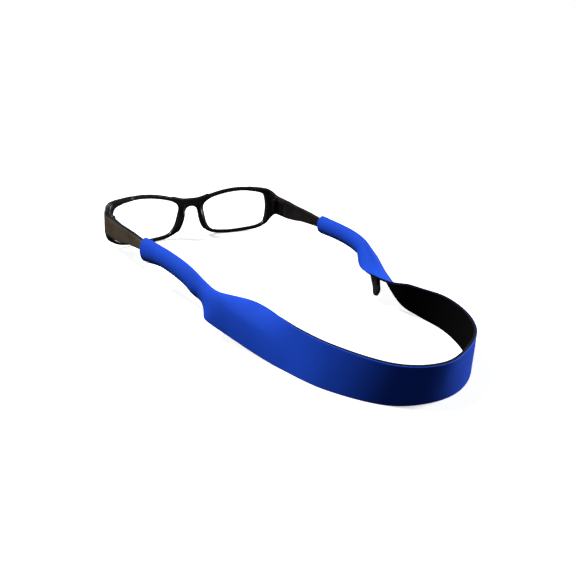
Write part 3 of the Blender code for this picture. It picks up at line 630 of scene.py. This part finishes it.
# The free strap's middle line in millimetres, from the left neck round to the right: across, back,
# lift of its lower edge, and the lean of its outer face in degrees
LOOP = [
    (-61.2, -150.5, 13.4, 42),
    (-55.2, -165.0, 6.6, 24),
    (-49.2, -181.0, 2.0, 15),
    (-44.6, -195.6, 0.1, 10),
    (-36.8, -222.6, 0.1, 1),
    (-19.0, -248.4, 0.1, -9),
    (1.5, -256.0, 0.1, -10),
    (22.0, -252.9, 0.1, 0),
    (42.2, -241.8, 0.1, 4),
    (55.6, -225.0, 0.1, 9),
    (62.4, -204.0, 0.1, 15),
    (61.3, -184.0, 0.2, 26),
    (59.4, -170.0, 2.1, 36),
    (60.2, -153.5, 10.2, 48),
    (62.4, -138.5, 19.5, 64),
]


def oval_turning(roll):
    """For the oval tube: run from the strip's middle against how far its surface has turned."""
    angles = np.linspace(0, 2 * math.pi, OVAL_POINTS)
    normal = np.arctan2(np.sin(angles) * TUBE_HALF_WIDE, np.cos(angles) * TUBE_HALF_TALL)
    start = angles[np.argmin(np.abs(np.angle(np.exp(1j * (normal - roll)))))]
    sweep = start + np.linspace(-math.pi, math.pi, OVAL_POINTS)
    x = TUBE_HALF_WIDE * np.cos(sweep)
    z = TUBE_HALF_TALL * np.sin(sweep)
    run = np.r_[0, np.cumsum(np.hypot(np.diff(x), np.diff(z)))]
    run -= np.interp(0, sweep - start, run)
    turned = np.unwrap(np.arctan2(np.sin(sweep) * TUBE_HALF_WIDE, np.cos(sweep) * TUBE_HALF_TALL))
    turned -= np.interp(0, sweep - start, turned)
    return run, turned, np.array([TUBE_HALF_WIDE * math.cos(start), TUBE_HALF_TALL * math.sin(start)])


OVALS = {side: oval_turning(ROLL[side]) for side in (-1, 1)}
TUBE_ROUND = OVALS[1][0][-1] - OVALS[1][0][0]


def sleeve_line(side):
    """The rolled strip's middle line along one temple, in the order left mouth to right mouth."""
    path = temple_path(side, TEMPLE_STEP)
    _, outward, upward = along_frames(path)
    middle = OVALS[side][2]
    line = path + outward * middle[0] + upward * middle[1]
    back = path[:, 1] - front_plane
    line = line[(back <= SLEEVE_MOUTH) & (back >= SLEEVE_END[side])]
    return np.column_stack([line, np.full(len(line), ROLL[side])])


free_line = []
for x, y, lift, lean in LOOP:
    turn = math.radians(lean)
    below = STRAP_WIDE / 2 * math.cos(turn) + STRAP_THICK / 2 * abs(math.sin(turn))
    free_line.append((x * MM, y * MM + front_plane, lift * MM + below, turn))
left_line, right_line = sleeve_line(-1), sleeve_line(1)
spine = smooth_path(
    np.vstack(
        [
            left_line[:-3:SLEEVE_EVERY],
            left_line[-1:],
            np.array(free_line),
            right_line[:1],
            right_line[SLEEVE_EVERY::SLEEVE_EVERY],
            right_line[-1:],
        ]
    ),
    SPINE_STEP,
)
spine_run = np.r_[0, np.cumsum(np.linalg.norm(np.diff(spine[:, :3], axis=0), axis=1))]
LENGTH = spine_run[-1]
left_end = spine_run[np.argmin(np.linalg.norm(spine[:, :3] - left_line[-1, :3], axis=1))]
right_end = spine_run[np.argmin(np.linalg.norm(spine[:, :3] - right_line[0, :3], axis=1))]
_, spine_out, spine_up = along_frames(spine)


def strap_axes(at):
    """Middle point, outward face direction and direction across the strip, at this run."""
    point = np.array([np.interp(at, spine_run, spine[:, c]) for c in range(3)])
    roll = np.interp(at, spine_run, spine[:, 3])
    out = np.array([np.interp(at, spine_run, spine_out[:, c]) for c in range(3)])
    up = np.array([np.interp(at, spine_run, spine_up[:, c]) for c in range(3)])
    out /= np.linalg.norm(out)
    up /= np.linalg.norm(up)
    return point, out * math.cos(roll) + up * math.sin(roll), up * math.cos(roll) - out * math.sin(roll)


def smoothstep(k):
    """Eases from 0 to 1."""
    k = min(1.0, max(0.0, k))
    return k * k * (3 - 2 * k)


def curl(at):
    """How far the upper and lower halves of the strip are rolled up, from 0 in the band to 1."""
    side = -1 if at < LENGTH / 2 else 1
    past = max(0.0, at - left_end) if side < 0 else max(0.0, right_end - at)
    roll = max(0.0, np.interp(at, spine_run, spine[:, 3]))
    high = (1 - min(1.0, past / NECK_HIGH_OPENS[side])) ** HIGH_SWEEP[side]
    low = 1 - smoothstep(past / NECK_LOW_OPENS[side])
    hang = roll / math.pi * (1 - smoothstep(past / (HANG_REACH * NECK_HIGH_OPENS[side])))
    return high, low + (1 - low) * hang


ACROSS = 56
ROW_STEP = 1.1 * MM
SHARP_EDGE = math.radians(55)
MOUTH_SLACK = {-1: 0.38, 1: 0.10}
MOUTH_LONG, MOUTH_EASE = 26.0 * MM, 1.5


def sag(points, at, top):
    """Near a sleeve's mouth, the slack tube hangs further below its top."""
    side = -1 if at < LENGTH / 2 else 1
    slack = MOUTH_SLACK[side] * max(0.0, 1 - min(at, LENGTH - at) / MOUTH_LONG) ** MOUTH_EASE
    return points + np.outer((points[:, 2] - top) * slack, (0, 0, 1))


def strap_row(at):
    """Points, face normals and run across the strip's mid-surface at one station, lower edge first."""
    side = -1 if at < LENGTH / 2 else 1
    point, face, rise = strap_axes(at)
    run, turned, _ = OVALS[side]
    high, low = curl(at)
    half_tube = (TUBE_ROUND - SEAM_GAP) / 2
    rolled = max(high, low)
    half = half_tube * rolled + STRAP_WIDE / 2 * (1 - rolled)
    steps = ACROSS // 2
    rows = []
    for sign, amount in ((-1, low), (1, high)):
        along = np.linspace(0, half, steps + 1)
        angle = np.abs(np.interp(sign * along * half_tube / half, run, turned)) * amount
        dx, dz = -np.sin(angle), sign * np.cos(angle)
        x = np.r_[0, np.cumsum((dx[1:] + dx[:-1]) / 2) * half / steps]
        z = np.r_[0, np.cumsum((dz[1:] + dz[:-1]) / 2) * half / steps]
        points = point + np.outer(x, face) + np.outer(z, rise)
        normals = np.outer(np.cos(angle), face) + np.outer(sign * np.sin(angle), rise)
        rows.append((points, normals, sign * along))
    low_half, high_half = rows
    points, normals, run = [np.concatenate([a[:0:-1], b]) for a, b in zip(low_half, high_half)]
    return sag(points, at, points[:, 2].max()), normals, run


def strap_layer(name, start, stop, inner, outer, tuck, skin):
    """One layer of the strip between two depths, its long edges rounded by tuck. Where each point lies
    in the flat cloth is stored for the knit."""
    count = int((stop - start) / ROW_STEP)
    sections = []
    places = []
    soft = min(tuck, (outer - inner) / 2)
    for at in np.linspace(start, stop, count + 1):
        points, normals, run = strap_row(at)
        edge = points[0] - points[1], points[-1] - points[-2]
        sides = [e / np.linalg.norm(e) for e in edge]
        top = points + normals * outer
        base = points + normals * inner
        top[0] = points[0] + normals[0] * (outer - soft)
        top[-1] = points[-1] + normals[-1] * (outer - soft)
        crown = [
            points[0] - sides[0] * soft + normals[0] * outer,
            points[-1] - sides[1] * soft + normals[-1] * outer,
        ]
        ring = [top[0], crown[0], *top[1:-1], crown[1], top[-1], *base[::-1]]
        sections.append(ring)
        across = [run[0], run[0] + soft, *run[1:-1], run[-1] - soft, run[-1], *run[::-1]]
        places.extend((at, a, 0.0) for a in across)
    verts, faces = loft(sections)
    piece = make_piece(name, verts, faces, skin)
    piece.data.set_sharp_from_angle(angle=SHARP_EDGE)
    cut_place = piece.data.attributes.new("cut_place", "FLOAT_VECTOR", "POINT")
    cut_place.data.foreach_set("vector", np.array(places, np.float32).ravel())
    return piece


# Jersey knit: columns of small loops, read from the cloth's own cut place so that it follows the strip.
jersey_knit = bpy.data.node_groups.new("jersey_knit", "ShaderNodeTree")
sockets = jersey_knit.interface
sockets.new_socket("Loops Per Metre", in_out="INPUT", socket_type="NodeSocketFloat")
sockets.new_socket("Height", in_out="OUTPUT", socket_type="NodeSocketFloat")
sockets.new_socket("Shade", in_out="OUTPUT", socket_type="NodeSocketFloat")
nodes, links = jersey_knit.nodes, jersey_knit.links
group_in, group_out = nodes.new("NodeGroupInput"), nodes.new("NodeGroupOutput")
cut_place = nodes.new("ShaderNodeAttribute")
cut_place.attribute_name = "cut_place"
scaled = nodes.new("ShaderNodeVectorMath")
scaled.operation = "SCALE"
links.new(cut_place.outputs["Vector"], scaled.inputs[0])
links.new(group_in.outputs["Loops Per Metre"], scaled.inputs["Scale"])
columns = nodes.new("ShaderNodeTexWave")
columns.bands_direction = "Y"
columns.inputs["Scale"].default_value = 0.3183
columns.inputs["Distortion"].default_value = 0.8
columns.inputs["Detail"].default_value = 1.0
columns.inputs["Detail Scale"].default_value = 2.0
courses = nodes.new("ShaderNodeTexWave")
courses.bands_direction = "X"
courses.inputs["Scale"].default_value = 0.42
courses.inputs["Distortion"].default_value = 1.6
courses.inputs["Detail Scale"].default_value = 1.5
links.new(scaled.outputs["Vector"], columns.inputs["Vector"])
links.new(scaled.outputs["Vector"], courses.inputs["Vector"])
loops = nodes.new("ShaderNodeMath")
loops.operation = "MULTIPLY"
links.new(columns.outputs["Fac"], loops.inputs[0])
links.new(courses.outputs["Fac"], loops.inputs[1])
fuzz = nodes.new("ShaderNodeTexNoise")
fuzz.inputs["Scale"].default_value = 2.3
fuzz.inputs["Detail"].default_value = 4.0
links.new(scaled.outputs["Vector"], fuzz.inputs["Vector"])
raised = nodes.new("ShaderNodeMath")
raised.operation = "ADD"
links.new(loops.outputs["Value"], raised.inputs[0])
links.new(fuzz.outputs["Fac"], raised.inputs[1])
links.new(raised.outputs["Value"], group_out.inputs["Height"])
shade = nodes.new("ShaderNodeMapRange")
shade.inputs["From Max"].default_value = 1.5
links.new(raised.outputs["Value"], shade.inputs["Value"])
links.new(shade.outputs["Result"], group_out.inputs["Shade"])


def jersey(name, shadow, lit, sheen, sheen_tint, worn):
    """Knitted nylon: shadow between the loops, lit on them, with larger soft patches of wear."""
    made = bpy.data.materials.new(name)
    made.use_nodes = True
    tree = made.node_tree
    shader = tree.nodes["Principled BSDF"]
    shader.inputs["Sheen Weight"].default_value = sheen
    shader.inputs["Sheen Roughness"].default_value = 0.4
    shader.inputs["Sheen Tint"].default_value = (*sheen_tint, 1.0)
    shader.inputs["Specular IOR Level"].default_value = 0.08
    knit = tree.nodes.new("ShaderNodeGroup")
    knit.node_tree = jersey_knit
    knit.inputs["Loops Per Metre"].default_value = 2200.0
    cloth = tree.nodes.new("ShaderNodeMix")
    cloth.data_type = "RGBA"
    cloth.inputs["A"].default_value = (*shadow, 1.0)
    cloth.inputs["B"].default_value = (*lit, 1.0)
    where = tree.nodes.new("ShaderNodeTexCoord")
    patches = tree.nodes.new("ShaderNodeTexNoise")
    patches.inputs["Scale"].default_value = 70.0
    patches.inputs["Detail"].default_value = 3.0
    faded = tree.nodes.new("ShaderNodeMix")
    faded.data_type = "RGBA"
    faded.blend_type = "MULTIPLY"
    fade = tree.nodes.new("ShaderNodeMapRange")
    fade.inputs["To Min"].default_value = 1.0 - worn
    fade.inputs["To Max"].default_value = 1.0 + worn
    faded.inputs["Factor"].default_value = 1.0
    rough = tree.nodes.new("ShaderNodeMapRange")
    rough.inputs["To Min"].default_value = 0.82
    rough.inputs["To Max"].default_value = 0.62
    bump = tree.nodes.new("ShaderNodeBump")
    bump.inputs["Strength"].default_value = 0.35
    bump.inputs["Distance"].default_value = 0.00012
    tree.links.new(knit.outputs["Shade"], cloth.inputs["Factor"])
    tree.links.new(where.outputs["Object"], patches.inputs["Vector"])
    tree.links.new(patches.outputs["Fac"], fade.inputs["Value"])
    tree.links.new(cloth.outputs["Result"], faded.inputs["A"])
    tree.links.new(fade.outputs["Result"], faded.inputs["B"])
    tree.links.new(faded.outputs["Result"], shader.inputs["Base Color"])
    tree.links.new(knit.outputs["Shade"], rough.inputs["Value"])
    tree.links.new(rough.outputs["Result"], shader.inputs["Roughness"])
    tree.links.new(knit.outputs["Height"], bump.inputs["Height"])
    tree.links.new(bump.outputs["Normal"], shader.inputs["Normal"])
    return made


blue_jersey = jersey("blue_jersey", (0.010, 0.055, 0.48), (0.018, 0.100, 0.82), 0.02, (0.3, 0.5, 1.0), 0.10)
black_jersey = jersey("black_jersey", (0.001, 0.001, 0.001), (0.004, 0.004, 0.004), 0.0, (0.6, 0.6, 0.7), 0.2)

# The foam shows only as the strip's cut edge: matt black, with fine closed cells whose hollows are
# painted darker, as shade.
foam_rubber = bpy.data.materials.new("foam_rubber")
foam_rubber.use_nodes = True
tree = foam_rubber.node_tree
shader = tree.nodes["Principled BSDF"]
foam_place = tree.nodes.new("ShaderNodeTexCoord")
cells = tree.nodes.new("ShaderNodeTexVoronoi")
cells.inputs["Scale"].default_value = 3800.0
# Darker at the cells' middles, where the bumps sink: painted shade in the hollows.
foam_tint_and_cell_shade = tree.nodes.new("ShaderNodeMix")
foam_tint_and_cell_shade.data_type = "RGBA"
foam_tint_and_cell_shade.inputs["A"].default_value = (0.001, 0.001, 0.002, 1.0)
foam_tint_and_cell_shade.inputs["B"].default_value = (0.007, 0.007, 0.009, 1.0)
foam_rough = tree.nodes.new("ShaderNodeMapRange")
foam_rough.inputs["To Min"].default_value = 0.95
foam_rough.inputs["To Max"].default_value = 0.75
shader.inputs["Specular IOR Level"].default_value = 0.1
foam_bump = tree.nodes.new("ShaderNodeBump")
foam_bump.inputs["Strength"].default_value = 0.5
foam_bump.inputs["Distance"].default_value = 0.0001
tree.links.new(foam_place.outputs["Object"], cells.inputs["Vector"])
tree.links.new(cells.outputs["Distance"], foam_tint_and_cell_shade.inputs["Factor"])
tree.links.new(foam_tint_and_cell_shade.outputs["Result"], shader.inputs["Base Color"])
tree.links.new(cells.outputs["Distance"], foam_rough.inputs["Value"])
tree.links.new(foam_rough.outputs["Result"], shader.inputs["Roughness"])
tree.links.new(cells.outputs["Distance"], foam_bump.inputs["Height"])
tree.links.new(foam_bump.outputs["Normal"], shader.inputs["Normal"])

# Each layer's depths, how far its long edges are rounded, and its material
LAYERS = {
    "face": (FOAM / 2, STRAP_THICK / 2, 0.3 * MM, blue_jersey),
    "foam": (-FOAM / 2, FOAM / 2, 0.05 * MM, foam_rubber),
    "lining": (-STRAP_THICK / 2, -FOAM / 2, 0.05 * MM, black_jersey),
}
NECK_LONG = 47.0 * MM
halves = {"left": (0.0, LENGTH / 2, left_end), "right": (LENGTH / 2, LENGTH, right_end)}
for name, (start, stop, sleeve_end) in halves.items():
    inward = 1 if name == "left" else -1
    bend_from, _, _ = strap_axes(sleeve_end)
    bend_to, _, _ = strap_axes(sleeve_end + inward * NECK_LONG)
    for layer, (inner, outer, tuck, skin) in LAYERS.items():
        piece = strap_layer(f"strap_{layer}_{name}", start, stop, inner, outer, tuck, skin)
        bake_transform(piece)
        covers = [f"sleeve_{layer}_{name}", f"neck_{layer}_{name}"]
        if name == "left":
            covers.append("band_" + layer)
        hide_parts(*covers)


# ---- Seam stitches ----
# Each rolled end is closed by a flat zigzag of blue polyester thread laid over the two butted edges,
# along the underside of the sleeve. The thread is twisted from two plies; its colour is painted darker
# in the grooves between them, as shade.

THREAD_R = 0.17 * MM
THREAD_PROUD = 0.6
STITCH_PITCH = 3.2 * MM
STITCH_HALF = 1.3 * MM
STITCH_INSET = 2 * MM
PER_STITCH = 12
ROUND_STEPS = 200
thread_blue = bpy.data.materials.new("thread_blue")
thread_blue.use_nodes = True
tree = thread_blue.node_tree
shader = tree.nodes["Principled BSDF"]
shader.inputs["Sheen Weight"].default_value = 0.2
thread_place = tree.nodes.new("ShaderNodeTexCoord")
plies = tree.nodes.new("ShaderNodeTexWave")
plies.bands_direction = "DIAGONAL"
plies.inputs["Scale"].default_value = 900.0
# The colour is darker where the ply bumps sink, in the grooves between the plies: painted shade.
thread_tint_and_groove_shade = tree.nodes.new("ShaderNodeMix")
thread_tint_and_groove_shade.data_type = "RGBA"
thread_tint_and_groove_shade.inputs["A"].default_value = (0.006, 0.030, 0.25, 1.0)
thread_tint_and_groove_shade.inputs["B"].default_value = (0.016, 0.080, 0.60, 1.0)
thread_rough = tree.nodes.new("ShaderNodeMapRange")
thread_rough.inputs["To Min"].default_value = 0.7
thread_rough.inputs["To Max"].default_value = 0.45
thread_bump = tree.nodes.new("ShaderNodeBump")
thread_bump.inputs["Strength"].default_value = 0.6
thread_bump.inputs["Distance"].default_value = 0.00006
tree.links.new(thread_place.outputs["Object"], plies.inputs["Vector"])
tree.links.new(plies.outputs["Fac"], thread_tint_and_groove_shade.inputs["Factor"])
tree.links.new(thread_tint_and_groove_shade.outputs["Result"], shader.inputs["Base Color"])
tree.links.new(plies.outputs["Fac"], thread_rough.inputs["Value"])
tree.links.new(thread_rough.outputs["Result"], shader.inputs["Roughness"])
tree.links.new(plies.outputs["Fac"], thread_bump.inputs["Height"])
tree.links.new(thread_bump.outputs["Normal"], shader.inputs["Normal"])


def seam_track(side):
    """The zigzag over the seam, from the oval's far side and a little to each edge of it."""
    start, stop = (0.0, left_end) if side < 0 else (right_end, LENGTH)
    start, stop = start + STITCH_INSET, stop - STITCH_INSET
    out = STRAP_THICK / 2 + THREAD_R * THREAD_PROUD
    count = int((stop - start) / STITCH_PITCH) * PER_STITCH
    run, turned, _ = OVALS[side]
    whole = run[-1]
    track = []
    for i in range(count + 1):
        at = start + (stop - start) * i / count
        point, face, rise = strap_axes(at)
        swing = STITCH_HALF * math.sin(2 * math.pi * i / PER_STITCH)
        along = np.linspace(0, whole + swing, ROUND_STEPS)
        angle = np.interp(
            along, np.r_[run, run[1:] + 2 * whole], np.r_[turned, turned[1:] + 2 * math.pi]
        )
        width = (whole + swing) / (ROUND_STEPS - 1)
        x = -(np.sin(angle[1:]) + np.sin(angle[:-1])).sum() / 2 * width
        z = (np.cos(angle[1:]) + np.cos(angle[:-1])).sum() / 2 * width
        x += math.cos(angle[-1]) * out
        z += math.sin(angle[-1]) * out
        top = strap_row(at)[0][:, 2].max()
        track.append(sag(np.array([point + face * x + rise * z]), at, top)[0])
    return track


for side, name in ((1, "right"), (-1, "left")):
    curve = bpy.data.curves.new("seam_stitch_" + name, "CURVE")
    curve.dimensions = "3D"
    curve.bevel_depth = THREAD_R
    curve.bevel_resolution = 3
    curve.use_fill_caps = True
    strand = curve.splines.new("POLY")
    track = seam_track(side)
    strand.points.add(len(track) - 1)
    for spot, point in zip(strand.points, track):
        spot.co = (*point, 1.0)
    curve.materials.append(thread_blue)
    stitch = bpy.data.objects.new("seam_stitch_" + name, curve)
    bpy.context.scene.collection.objects.link(stitch)
    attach(stitch, name + "_temple")
    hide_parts("seam_thread_" + name)


# ---- Floor, light and camera ----
# A white paper sweep under two soft lights, a key from the left and above and a weaker one from the far
# right. The camera looks down from behind the left temple.

floor_white = bpy.data.materials.new("floor_white")
floor_white.use_nodes = True
tree = floor_white.node_tree
shader = tree.nodes["Principled BSDF"]
shader.inputs["Roughness"].default_value = 0.9
shader.inputs["Specular IOR Level"].default_value = 0.0
paper = tree.nodes.new("ShaderNodeMix")
paper.data_type = "RGBA"
paper.inputs["A"].default_value = (0.03, 0.03, 0.03, 1.0)
paper.inputs["B"].default_value = (0.90, 0.90, 0.90, 1.0)
looked_at = tree.nodes.new("ShaderNodeLightPath")
tree.links.new(looked_at.outputs["Is Camera Ray"], paper.inputs["Factor"])
tree.links.new(paper.outputs["Result"], shader.inputs["Base Color"])
tree.links.new(paper.outputs["Result"], shader.inputs["Emission Color"])
shader.inputs["Emission Strength"].default_value = 0.7
FLOOR_HALF = 9.0
corners = [(x * FLOOR_HALF, y * FLOOR_HALF, 0.0) for x, y in ((-1, -1), (1, -1), (1, 1), (-1, 1))]
floor = make_piece("floor", corners, [(0, 1, 2, 3)], floor_white)

world = bpy.data.worlds.new("studio")
bpy.context.scene.world = world
world.use_nodes = True
tree = world.node_tree
sky = tree.nodes["Background"]
looked_at = tree.nodes.new("ShaderNodeLightPath")
glow = tree.nodes.new("ShaderNodeMix")
glow.data_type = "RGBA"
glow.inputs["A"].default_value = (0.045, 0.05, 0.06, 1.0)
glow.inputs["B"].default_value = (1.0, 1.0, 1.0, 1.0)
tree.links.new(looked_at.outputs["Is Camera Ray"], glow.inputs["Factor"])
tree.links.new(glow.outputs["Result"], sky.inputs["Color"])


def sun(name, toward, strength, spread):
    """A far-off soft light shining from this direction, its spread in degrees."""
    lamp = bpy.data.lights.new(name, "SUN")
    lamp.energy = strength
    lamp.angle = math.radians(spread)
    holder = bpy.data.objects.new(name, lamp)
    holder.rotation_euler = Vector(toward).to_track_quat("Z", "Y").to_euler()
    bpy.context.scene.collection.objects.link(holder)


sun("key_light", (-0.452, 0.353, 0.819), 3.8, 16)
sun("far_light", (0.94, -0.15, 0.31), 3.5, 24)

CAMERA_AT = (-209.703 * MM, -417.191 * MM + front_plane, 163.443 * MM)
YAW, PITCH, TILT = math.radians(36.462), math.radians(23.411), math.radians(5.358)
FOCAL_LENGTH, SENSOR_WIDE = 39.37, 36.0
ahead = Vector((math.sin(YAW) * math.cos(PITCH), math.cos(YAW) * math.cos(PITCH), -math.sin(PITCH)))
level_right = Vector((math.cos(YAW), -math.sin(YAW), 0.0))
level_up = level_right.cross(ahead)
right = level_right * math.cos(TILT) + level_up * math.sin(TILT)
up = level_up * math.cos(TILT) - level_right * math.sin(TILT)
lens_data = bpy.data.cameras.new("camera")
lens_data.sensor_width = SENSOR_WIDE
lens_data.lens = FOCAL_LENGTH
camera = bpy.data.objects.new("camera", lens_data)
turn = Matrix((right, up, -ahead)).transposed()
camera.matrix_world = Matrix.Translation(CAMERA_AT) @ turn.to_4x4()
bpy.context.scene.collection.objects.link(camera)
bpy.context.scene.camera = camera
bpy.context.scene.view_settings.view_transform = "Standard"
